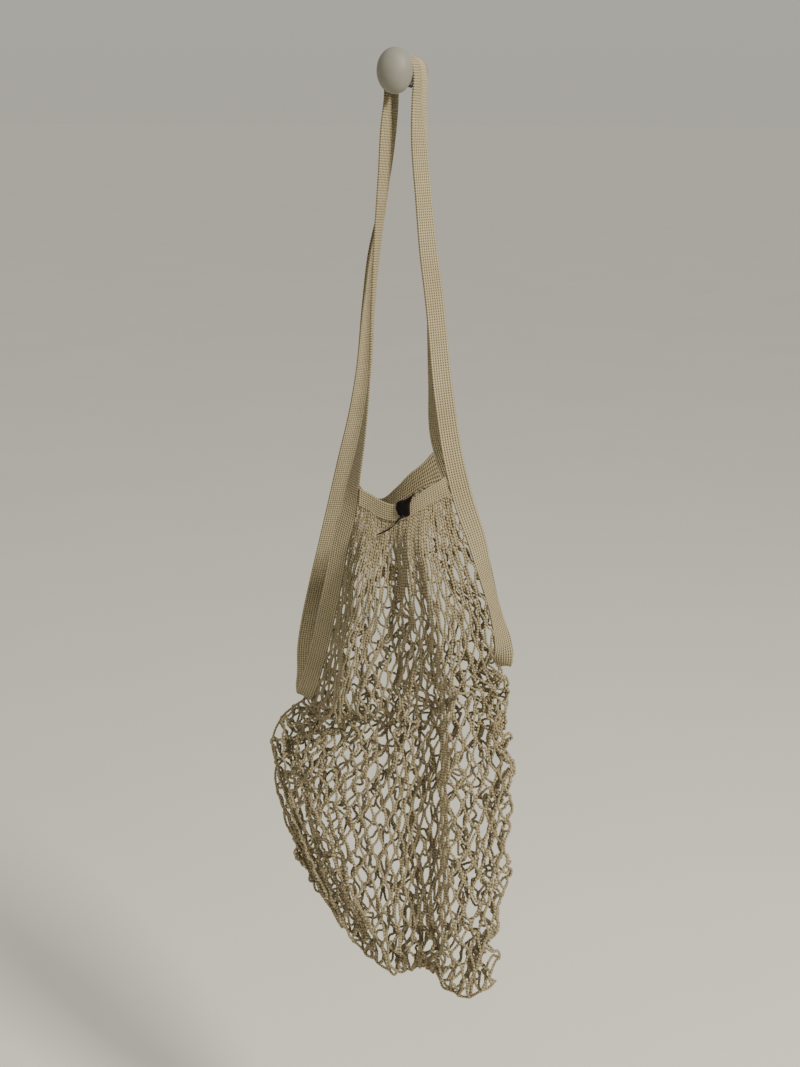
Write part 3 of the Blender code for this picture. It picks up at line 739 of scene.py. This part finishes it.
def hangNet(lattice):
    random = np.random.default_rng(net["seed"])
    nodeCount = len(lattice.targets)
    wales = lattice.wales()
    inner = net["segments"] - 1
    points = [lattice.targets]
    chains = []
    nextFree = nodeCount
    for panel, w, nodes in wales:
        chain = [nodes[0]]
        for start, end in zip(nodes, nodes[1:]):
            share = (np.arange(1, inner + 1) / net["segments"])[:, None]
            bow = random.normal(0, net[panel + "Bow"], 3) * np.sin(math.pi * share)
            points.append(lattice.targets[start] * (1 - share) + lattice.targets[end] * share + bow)
            chain += list(range(nextFree, nextFree + inner)) + [end]
            nextFree += inner
        chains.append(np.array(chain))
    position = np.concatenate(points)
    free = np.ones(len(position))
    free[:nodeCount][lattice.kinds == 2] = 0.0
    target = lattice.targets.copy()
    wander = smoothScatter(lattice.targets, random) * lattice.scatter
    wander += random.normal(0, 1, target.shape) * lattice.loose
    target += wander * (lattice.kinds == 0)[:, None]
    pull = np.where(lattice.kinds == 1, net["edgePull"], net["targetPull"])[:, None] * (lattice.kinds != 2)[:, None]
    groups = {}
    for (panel, w, nodes), chain in zip(wales, chains):
        shift = 0 if panel == "front" else 1
        for k in range(len(chain) - 1):
            groups.setdefault(((k + shift) % 2, (w + shift) % 2), []).append((chain[k], chain[k + 1], shift))
    groups = [np.array(pairs).T for pairs in groups.values()]
    rests = [
        net["barLength"] / net["segments"] * (1 + spareYarn(position[first]) + net["backSpare"] * back)
        for first, second, back in groups
    ]
    chainArray = np.array(chains)
    before, middle, after = chainArray[:, :-2].ravel(), chainArray[:, 1:-1].ravel(), chainArray[:, 2:].ravel()
    isInner = middle >= nodeCount
    stiffness = (np.where(isInner, 1.0, net["nodeBend"]) * net["bend"] * free[middle])[:, None]
    for sweep in range(net["sweeps"]):
        position[:, 2] -= net["gravity"] * free
        position[:nodeCount] += pull * (target - position[:nodeCount])
        bend = (position[before] + position[after]) / 2 - position[middle]
        np.add.at(position, middle, bend * stiffness)
        for (first, second, back), rest in zip(groups, rests):
            step = position[second] - position[first]
            length = np.linalg.norm(step, axis=1)
            share = free[first] + free[second]
            move = step * ((length - rest) / np.maximum(length, 1e-6) / np.maximum(share, 1.0))[:, None]
            position[first] += move * free[first][:, None]
            position[second] -= move * free[second][:, None]
        position[:, 1] = np.minimum(position[:, 1], -net["wallClearance"])
    spans = np.linalg.norm(position[chainArray[:, 1:]] - position[chainArray[:, :-1]], axis=2)
    print("net hung: segment", round(float(spans.mean()), 2), "mm, longest", round(float(spans.max()), 2), "mm")
    return position, wales, chains


def smoothScatter(points, random):
    # Slow wander that neighbouring nodes share.
    offset = np.zeros(points.shape)
    for wavelength, size in ((60.0, 1.0), (32.0, 0.7)):
        for k in range(6):
            direction = unit(random.normal(0, 1, 3))
            axis = unit(random.normal(0, 1, 3))
            phase = random.uniform(0, 2 * math.pi)
            wave = np.sin(points @ direction * (2 * math.pi / wavelength) + phase)
            offset += wave[:, None] * axis * size / 2
    return offset


def spareYarn(points):
    spare = np.zeros(len(points))
    for side, height, reach, share in slackPlaces:
        away = np.hypot(points[:, 0] - side, points[:, 2] - height) / reach
        spare += share * np.exp(-(away**2))
    return spare


def yarnLines(position, wales, chains, nodeCount):
    # Two yarns share each node, so each is set aside by its own half thickness there.
    random = np.random.default_rng(net["seed"] + 2)
    segments = net["segments"]
    share = (np.arange(2, segments - 1) / segments)[:, None]
    lines = []
    byNode = {}
    for (panel, w, nodes), chain in zip(wales, chains):
        for k, node in enumerate(nodes):
            place = k * segments
            near = [chain[j] for j in (place - 1, place + 1) if 0 <= j < len(chain)]
            byNode.setdefault((panel, node), {})[w] = position[near].mean(axis=0)
    for (panel, w, nodes), chain in zip(wales, chains):
        line = []
        for k, node in enumerate(nodes):
            place = k * segments
            others = [p for other, p in byNode[(panel, node)].items() if other != w]
            aside = 0.0
            if others:
                aside = unit(byNode[(panel, node)][w] - others[0]) * net["yarnRadius"] * net["asideShare"]
            run = position[chain[min(place + 1, len(chain) - 1)]] - position[chain[max(place - 1, 0)]]
            side = unit(run) * net["joint"] if 0 < k < len(nodes) - 1 else 0.0
            if k == 0:
                line.append(position[node] + aside - unit(run) * net["rooted"])
            line += [position[node] + aside - side, position[node] + aside + side]
            # no curls where the net hangs tight
            slack = np.clip((net["curlsBelow"] - position[node][2]) / net["curlsFade"], 0, 1)
            bow, turn = random.normal(0, 1, (2, 3)) * net[panel + "Curl"] * slack * np.array([[1.0], [0.5]])
            inner = position[chain[place + 2:place + segments - 1]]
            line += list(inner + (bow * np.sin(math.pi * share) + turn * np.sin(2 * math.pi * share))[:len(inner)])
        line = np.array(line)
        line[:, 1] = np.minimum(line[:, 1], net["nearestWall"])
        lines.append((panel, w, line))
    return lines


def hemLines(position, lattice):
    # The net turns round its bottom and its side folds in short slack loops between the nodes there.
    random = np.random.default_rng(net["seed"] + 1)
    last, rows = net["halfColumns"], net["halfRows"]
    leftEnd = net["slitRows"][0]
    runs = [
        (0, (0, 0, -1), [("bottom", a, rows) for a in range(0, last // 2 + 1, 2)]),
        (last - 1, (0, 0, -1), [("bottom", a, rows) for a in range(last // 2, last + 1, 2)]),
        (0, (-1, 0, -0.2), [("side", 0, r) for r in range(leftEnd + 2, rows, 2)] + [("bottom", 0, rows)]),
    ]
    lines = []
    for w, outward, keys in runs:
        nodes = position[[lattice.index[key] for key in keys]]
        line = [nodes[:1]]
        for start, end in zip(nodes, nodes[1:]):
            share = np.linspace(0, 1, 7)[1:][:, None]
            sag = np.array(outward) * random.uniform(0.6, 2.2) + random.normal(0, 1.1, 3)
            line.append(start * (1 - share) + end * share + np.sin(math.pi * share) * sag)
        lines.append(("front", w, np.concatenate(line)))
    return lines


# Yarn: a beaded tube along each line, made by Geometry Nodes

yarn = {
    "radius": 1.2, "tightShare": 0.76, "tightHeight": -420.0, "slackHeight": -620.0,
    "beadPitch": 2.7, "beadDepth": 0.24, "step": 1.06, "sides": {"front": 6, "back": 5}, "seed": 23,
    "uneven": (0.85, 1.15), "unevenScale": 160.0,
}


def yarnTree(material):
    tree = bpy.data.node_groups.new("yarnAlongLines", "GeometryNodeTree")
    face = tree.interface
    face.new_socket("Lines", in_out="INPUT", socket_type="NodeSocketGeometry")
    face.new_socket("Tube", in_out="OUTPUT", socket_type="NodeSocketGeometry")
    sockets = {}
    for name in ("Yarn Radius", "Bead Pitch", "Bead Depth", "Step", "Sides"):
        kind = "NodeSocketInt" if name == "Sides" else "NodeSocketFloat"
        sockets[name] = face.new_socket(name, in_out="INPUT", socket_type=kind).identifier
    start = tree.nodes.new("NodeGroupInput")
    given = {socket.name: Wire(tree, socket) for socket in start.outputs if socket.name}

    def add(kind, settings=None, output=0, **inputs):
        return Wire(tree, addNode(tree, kind, settings, **inputs).outputs[output])

    def store(geometry, name, value):
        settings = {"data_type": "FLOAT", "domain": "POINT"}
        return add("GeometryNodeStoreNamedAttribute", settings, Geometry=geometry, Name=name, Value=value)

    line = add("GeometryNodeMeshToCurve", Mesh=given["Lines"])
    line = add("GeometryNodeCurveSplineType", {"spline_type": "CATMULL_ROM"}, Curve=line)
    line = add("GeometryNodeResampleCurve", {"mode": "LENGTH"}, Curve=line, Length=given["Step"])
    length = add("GeometryNodeSplineParameter", output="Length")
    along = length + add("GeometryNodeInputNamedAttribute", {"data_type": "FLOAT"}, Name="beadStart")
    phase = along / given["Bead Pitch"] * (2 * math.pi)
    bead = add("ShaderNodeMath", {"operation": "SINE"}, n0=phase) * given["Bead Depth"] + 1.0
    place = add("GeometryNodeInputPosition")
    loose = add("ShaderNodeTexNoise", Vector=place, Scale=yarn["unevenScale"], Detail=1.0)
    low, high = yarn["uneven"]
    parts = addNode(tree, "ShaderNodeSeparateXYZ", Vector=place)
    across, up, level = (Wire(tree, output) for output in parts.outputs)
    tight = add(  # the yarn is thinner where it hangs tight below the bands
        "ShaderNodeMapRange", Value=level, To_Min=yarn["tightShare"], To_Max=1.0,
        From_Min=yarn["tightHeight"] * mm, From_Max=yarn["slackHeight"] * mm,
    )
    radius = bead * (loose * (high - low) + low) * tight * given["Yarn Radius"]
    line = store(line, "alongYarn", along)
    ring = add("GeometryNodeCurvePrimitiveCircle", Resolution=given["Sides"], Radius=1.0)
    ring = store(store(ring, "ringX", across), "ringY", up)
    tube = add("GeometryNodeCurveToMesh", Curve=line, Profile_Curve=ring, Scale=radius, Fill_Caps=True)
    tube = add("GeometryNodeSetShadeSmooth", Geometry=tube)
    tube = add("GeometryNodeRealizeInstances", Geometry=tube)
    tube = add("GeometryNodeSetMaterial", Geometry=tube, Material=material)
    tree.links.new(tube.socket, tree.nodes.new("NodeGroupOutput").inputs[0])
    return tree, sockets


def yarnMaterial():
    shader = Shader("undyedCottonYarn")
    place = shader.objectPlace()
    along = shader.attribute("alongYarn") * (2 * math.pi / (yarn["beadPitch"] * mm))
    sine, cosine = shader.sine(along), shader.node("ShaderNodeMath", {"operation": "COSINE"}, n0=along)
    twist = (sine * shader.attribute("ringX") + cosine * shader.attribute("ringY")) * 0.5 + 0.5
    fuzz = shader.noise(place, 1100.0, 3.0, 0.6)
    patches = shader.noise(place, 28.0, 3.0, 0.6)
    base = shader.blend(patches, rgb(0.32, 0.265, 0.15), rgb(0.47, 0.40, 0.25))
    # Painted shade: the yarn is painted darker along the grooves of its twist and at the necks between its beads,
    # standing in for their shading
    bead = sine * 0.5 + 0.5
    shaded = shader.blend(shader.clamp((1 - twist) * 0.55 + (1 - bead) * 0.45), base, rgb(0.12, 0.085, 0.042))
    height = twist * 0.6 + fuzz * 0.4
    return shader.set(
        Base_Color=shaded, Roughness=0.92, Sheen_Weight=0.08, Sheen_Roughness=0.6,
        Normal=shader.bump(height, 0.0006, 0.8),
    )


def makeYarn(name, lines, tree, sockets, settings, sides):
    edges = []
    start = 0
    for line in lines:
        index = np.arange(start, start + len(line) - 1)
        edges.append(np.column_stack([index, index + 1]))
        start += len(line)
    mesh = bpy.data.meshes.new(name + "Lines")
    mesh.from_pydata((np.concatenate(lines) * mm).tolist(), np.concatenate(edges).tolist(), [])
    guide = addObject(name + "Lines", mesh)
    random = np.random.default_rng(settings["seed"])
    starts = random.uniform(0, settings["beadPitch"] * mm, len(lines))
    storeValue(guide, "beadStart", np.repeat(starts, [len(line) for line in lines]))
    modifier = guide.modifiers.new("yarn", "NODES")
    modifier.node_group = tree
    values = {
        "Yarn Radius": settings["radius"] * mm, "Bead Pitch": settings["beadPitch"] * mm,
        "Bead Depth": settings["beadDepth"], "Step": settings["step"] * mm, "Sides": sides,
    }
    for label, value in values.items():
        modifier[sockets[label]] = value
    graph = bpy.context.evaluated_depsgraph_get()
    graph.update()
    made = guide.evaluated_get(graph)
    data = bpy.data.meshes.new_from_object(made, preserve_all_data_layers=True, depsgraph=graph)
    data.name = name
    bpy.data.objects.remove(guide)
    print(name, len(data.polygons), "faces")
    return addObject(name, data)


def makeNet():
    lattice = Lattice()
    position, wales, chains = hangNet(lattice)
    lines = yarnLines(position, wales, chains, len(lattice.targets)) + hemLines(position, lattice)
    tree, sockets = yarnTree(yarnMaterial())
    half = net["halfColumns"] // 2
    for panel in ("front", "back"):
        for part, first in (("Left", 0), ("Right", half)):
            name = "net" + panel.capitalize() + part
            chosen = [line for side, w, line in lines if side == panel and first <= w < first + half]
            item = makeYarn(name, chosen, tree, sockets, yarn, yarn["sides"][panel])
            length = sum(np.linalg.norm(np.diff(line, axis=0), axis=1).sum() for line in chosen) * mm
            standFor(item, "net_body")
            print(name, "yarn", round(length, 1), "m")


makeNet()


# Knob

knob = {
    "neckRadius": 10.0, "footRadius": 12.5, "footThickness": 1.6,
    "headHalfWidth": 14.4, "headHalfHeight": 17.6, "headHalfDepth": 12.5, "headCentre": 49.0,
    "chamfer": 0.3, "sides": 72,
}


def makeKnob(shape):
    neckEnd = shape["headHalfDepth"] * math.sqrt(1 - (shape["neckRadius"] / shape["headHalfWidth"]) ** 2)
    start = math.acos(-neckEnd / shape["headHalfDepth"])
    foot, neck = shape["footRadius"], shape["neckRadius"]
    thick, chamfer = shape["footThickness"], shape["chamfer"]
    profile = [(0.0, foot - chamfer), (0.25, foot), (thick - chamfer, foot), (thick, foot - 0.35)]
    profile += [(thick + 0.1, neck + 0.8), (thick + 0.8, neck)]
    joint = shape["headCentre"] - neckEnd
    profile += [(joint * share, neck) for share in (0.3, 0.6, 0.85)]
    rings = [(off, radius, radius) for off, radius in profile]
    for angle in np.linspace(start, 0.03, 22):
        rings.append((
            shape["headCentre"] + shape["headHalfDepth"] * math.cos(angle),
            shape["headHalfWidth"] * math.sin(angle),
            shape["headHalfHeight"] * math.sin(angle),
        ))
    turns = np.linspace(0, 2 * math.pi, shape["sides"], endpoint=False)
    item = closedMesh("knobTurned", np.array([
        [(wide * math.cos(a), -off, tall * math.sin(a)) for a in turns] for off, wide, tall in rings
    ]))
    item.data.set_sharp_from_angle(angle=math.radians(50))
    shader = Shader("mattKnobPaint")
    place = shader.objectPlace()
    brush = shader.noise(place, 260.0, 4.0, 0.6)
    grime = shader.noise(place, 60.0, 3.0, 0.6)
    colour = shader.blend(grime, rgb(0.17, 0.162, 0.137), rgb(0.235, 0.226, 0.196))
    item.data.materials.append(shader.set(
        Base_Color=colour, Roughness=grime * 0.2 + 0.45, Specular_IOR_Level=0.35,
        Normal=shader.bump(brush, 0.0002, 0.5),
    ))
    standFor(item, "knob")
    print("knob made")


makeKnob(knob)


# Label and its tail
# outline: shares of the width and height from the middle, then the crown off the band in millimetres
labelShape = {
    "side": 14.5, "height": -346.0, "offWall": 71.6, "width": 13.5, "tall": 16.0, "lean": 0.06, "thickness": 0.8,
    "outline": [
        (-0.46, 0.12), (-0.47, -0.08), (-0.40, -0.26), (-0.22, -0.46), (-0.02, -0.52), (0.20, -0.50), (0.42, -0.44),
        (0.46, -0.18), (0.44, 0.08), (0.46, 0.30), (0.58, 0.62), (0.66, 0.78), (0.34, 0.56), (0.08, 0.44),
        (-0.18, 0.38), (-0.36, 0.28),
    ],
    "rings": 9, "crown": 0.9, "rim": 0.10,
}
tailShape = {
    "line": [
        (15.5, -352.6, 72.8), (11.0, -356.6, 74.4), (8.0, -360.6, 75.2), (3.0, -365.2, 75.0),
        (-2.5, -368.6, 74.4), (-8.0, -371.4, 73.8),
    ],
    "width": 2.3, "tip": 0.9, "thickness": 0.7, "twist": 210.0, "steps": 60, "around": 10,
}


def darkClothMaterial(name, dark, worn):
    shader = Shader(name)
    place = shader.objectPlace()
    bands = {"output": "Fac", "Vector": place, "Scale": 520.0, "Distortion": 0.6}
    weave = shader.node("ShaderNodeTexWave", {"wave_type": "BANDS", "bands_direction": "Z"}, **bands)
    cross = shader.node("ShaderNodeTexWave", {"wave_type": "BANDS", "bands_direction": "X"}, **bands)
    patches = shader.noise(place, 300.0, 3.0, 0.6)
    rim = shader.attribute("rim")
    colour = shader.blend(patches * 0.5, rgb(*dark), rgb(*worn))
    colour = shader.blend(rim, colour, rgb(0.030, 0.008, 0.012))
    return shader.set(
        Base_Color=colour, Roughness=0.7, Specular_IOR_Level=0.12,
        Normal=shader.bump(weave * 0.5 + cross * 0.5, 0.0003, 0.5),
    )


def makeLabel(shape):
    # Rings shrink from the outline to the middle on the front, and the same at the back, with a crowned face.
    outline, knots = smoothCurve([(x, 0, z) for x, z in shape["outline"] + shape["outline"][:1]])
    ring = outline(np.linspace(0, knots[-1], 64, endpoint=False))
    rows, rims = [], []
    for face in (-1, 1):
        for share in np.linspace(0.0, 1.0, shape["rings"])[1:][::-face]:
            lift = shape["thickness"] * (0.5 + 0.5 * face * math.sqrt(max(0.0, 1 - share**6)))
            lift += shape["crown"] * (1 - share**2) + 0.35 * np.sin(ring[:, 2] * 7.0 + ring[:, 0] * 4.0) * share
            side = shape["side"] + shape["width"] * share * (ring[:, 0] + ring[:, 2] * shape["lean"])
            height = shape["height"] + shape["tall"] * share * ring[:, 2]
            rows.append(np.column_stack([side, -(shape["offWall"] + lift), height]))
            rims += [max(0.0, (share - 1 + 2 * shape["rim"]) / (2 * shape["rim"]))] * len(ring)
    return closedMesh("labelFolded", np.array(rows), {"rim": rims})


def makeTail(shape):
    curve, knots = smoothCurve(places(shape["line"]))
    distance = np.linspace(0, knots[-1], shape["steps"])
    centre = curve(distance)
    tangent = unit(np.gradient(centre, axis=0))
    sideways = unit(np.cross(tangent, np.array([0.0, -1.0, 0.0])))
    forward = np.cross(sideways, tangent)
    turn = np.radians(shape["twist"]) * (distance / knots[-1])[:, None]
    across = sideways * np.cos(turn) + forward * np.sin(turn)
    face = forward * np.cos(turn) - sideways * np.sin(turn)
    widths = [shape["width"], shape["width"] * 0.8, shape["tip"]]
    half = np.interp(distance / knots[-1], [0, 0.5, 1], widths)[:, None] / 2
    rows = []
    for angle in np.linspace(0, 2 * math.pi, shape["around"], endpoint=False):
        rows.append(centre + across * half * math.cos(angle) + face * shape["thickness"] / 2 * math.sin(angle))
    rings = np.stack(rows, axis=1)
    return closedMesh("labelTailTwisted", rings, {"rim": np.zeros(rings.shape[0] * rings.shape[1])})


for item, node, dark, worn in (
    (makeLabel(labelShape), "label", (0.002, 0.0015, 0.002), (0.009, 0.006, 0.008)),
    (makeTail(tailShape), "label_tail", (0.004, 0.006, 0.007), (0.022, 0.028, 0.029)),
):
    item.data.materials.append(darkClothMaterial(item.name + "Cloth", dark, worn))
    standFor(item, node)
print("label and tail made")


# Stage: a plain pale floor, with soft light from the upper right front

stage = {
    "floorHeight": -1.15, "floorSize": 160.0, "floorColour": (0.80, 0.785, 0.70),
    "horizonColour": (0.47, 0.455, 0.39), "skyColour": (0.62, 0.61, 0.57),
}


def makeStage(setup):
    half = setup["floorSize"] / 2
    height = setup["floorHeight"]
    corners = [(-half, -half, height), (half, -half, height), (half, half, height), (-half, half, height)]
    shader = Shader("paleFloor")
    dust = shader.noise(shader.objectPlace(), 3.0, 3.0, 0.5)
    darker, lighter = (rgb(*[c * share for c in setup["floorColour"]]) for share in (0.97, 1.03))
    colour = shader.blend(dust, darker, lighter)
    mesh = bpy.data.meshes.new("floor")
    mesh.from_pydata(corners, [], [(0, 1, 2, 3)])
    mesh.materials.append(shader.set(Base_Color=colour, Roughness=0.95, Specular_IOR_Level=0.1))
    addObject("floor", mesh)
    world = bpy.data.worlds.new("studio")
    bpy.context.scene.world = world
    world.use_nodes = True
    tree = world.node_tree
    place = Wire(tree, addNode(tree, "ShaderNodeTexCoord").outputs["Generated"])
    level = Wire(tree, addNode(tree, "ShaderNodeSeparateXYZ", n0=place).outputs["Z"])
    ramp = addNode(tree, "ShaderNodeValToRGB", n0=level)
    for element, height, colour in zip(ramp.color_ramp.elements, (0.02, 0.6), ("horizonColour", "skyColour")):
        element.position = height
        element.color = rgb(*setup[colour])
    tree.links.new(ramp.outputs[0], tree.nodes["Background"].inputs["Color"])


def addLight(name, place, aim, size, power, colour):
    data = bpy.data.lights.new(name, "AREA")
    data.shape = "SQUARE"
    data.size = size
    data.energy = power
    data.color = colour
    item = addObject(name, data)
    direction = np.array(aim, float) - np.array(place, float)
    item.location = place
    flat = math.hypot(direction[0], direction[1])
    item.rotation_euler = (math.atan2(flat, -direction[2]), 0, math.atan2(-direction[0], direction[1]))


makeStage(stage)
addLight("keySoft", (1.7, -0.95, 1.1), (0.0, 0.0, -0.4), 0.4, 80.0, (1.0, 0.95, 0.83))
print("stage and lights set")
